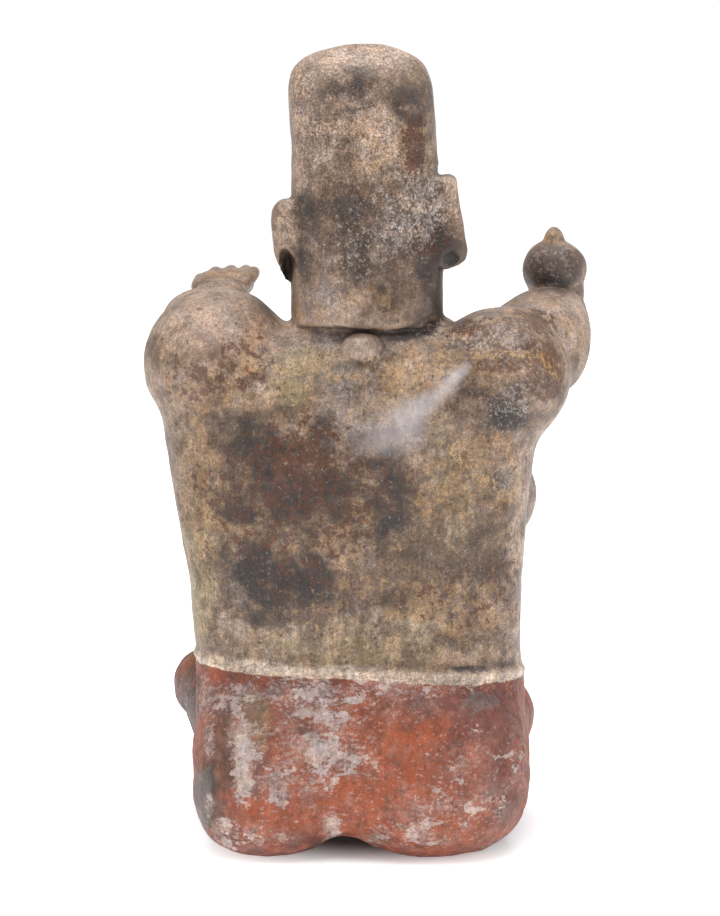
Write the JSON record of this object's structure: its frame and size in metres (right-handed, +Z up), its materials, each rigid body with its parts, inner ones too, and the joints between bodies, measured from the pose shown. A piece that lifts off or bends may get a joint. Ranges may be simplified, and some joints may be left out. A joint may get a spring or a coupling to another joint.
{
  "type": "kneeling female figure",
  "caption": "Hollow fired-clay figure of a kneeling woman with raised arms, holding a small ball, in a red-slipped skirt.",
  "frame": {"origin": "bottom centre of the figure's outer box, on the floor it kneels on", "axes": "+Z up, the face looks towards -Y, her left is towards +X"},
  "size_m": [0.2578, 0.2228, 0.46],
  "materials": {
    "fired_clay": "satin"
  },
  "bodies": {
    "root": {"kneeling_figure": "fired_clay"}
  },
  "joints": []
}
